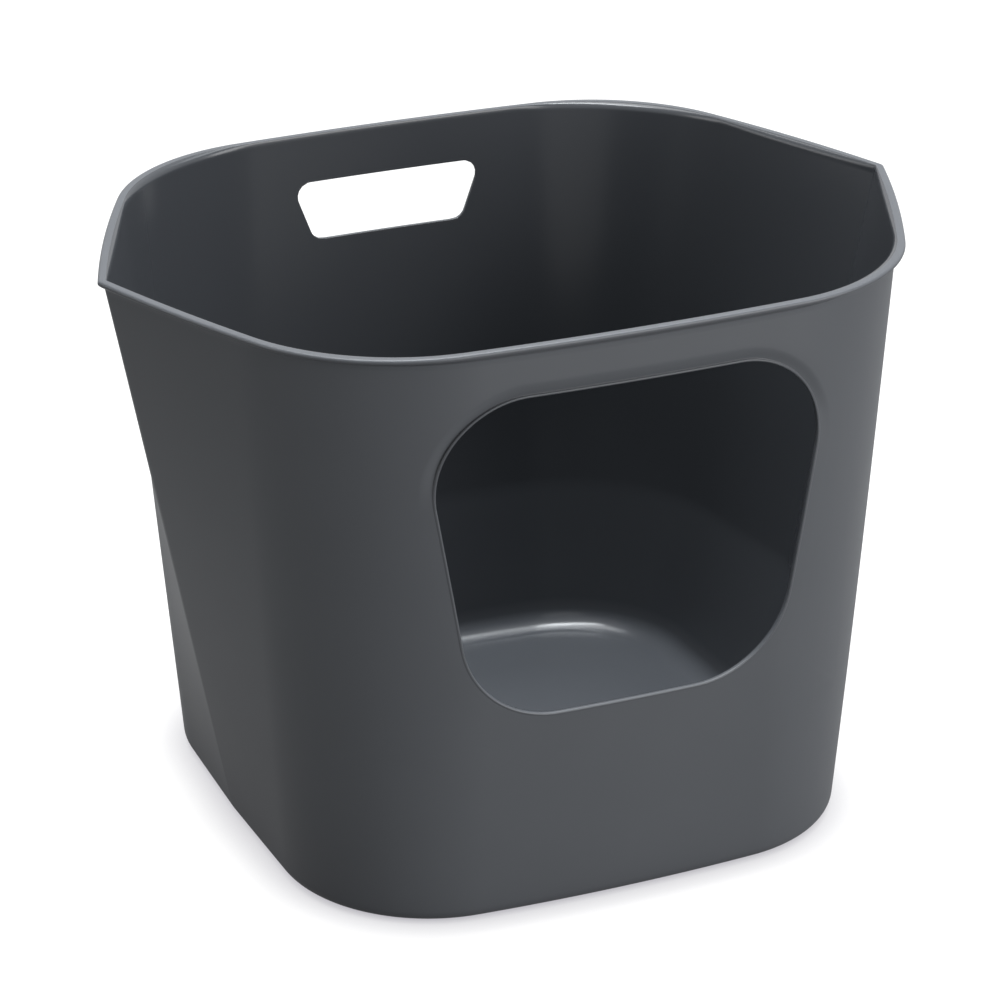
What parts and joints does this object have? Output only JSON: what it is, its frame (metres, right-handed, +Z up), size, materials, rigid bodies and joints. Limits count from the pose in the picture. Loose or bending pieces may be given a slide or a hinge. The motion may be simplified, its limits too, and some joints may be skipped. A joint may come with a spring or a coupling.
{
  "type": "litter box",
  "caption": "High-sided, open-topped litter box: flared plastic tub with side ridges, a wide front entry, a hand hold in the back wall and rubber feet.",
  "frame": {"origin": "on the ground under the middle of the tub", "axes": "+Z up, -Y is the front with the entry, +X towards the right-hand side ridge seen from the front"},
  "size_m": [0.5174, 0.395, 0.373],
  "materials": {
    "tub_plastic": "moulded charcoal grey plastic, satin outside and glossier inside",
    "foot_rubber": "soft matt black rubber"
  },
  "bodies": {
    "root": {"tub": "tub_plastic", "foot_front_left": "foot_rubber", "foot_front_right": "foot_rubber", "foot_back_left": "foot_rubber", "foot_back_right": "foot_rubber"}
  },
  "joints": []
}
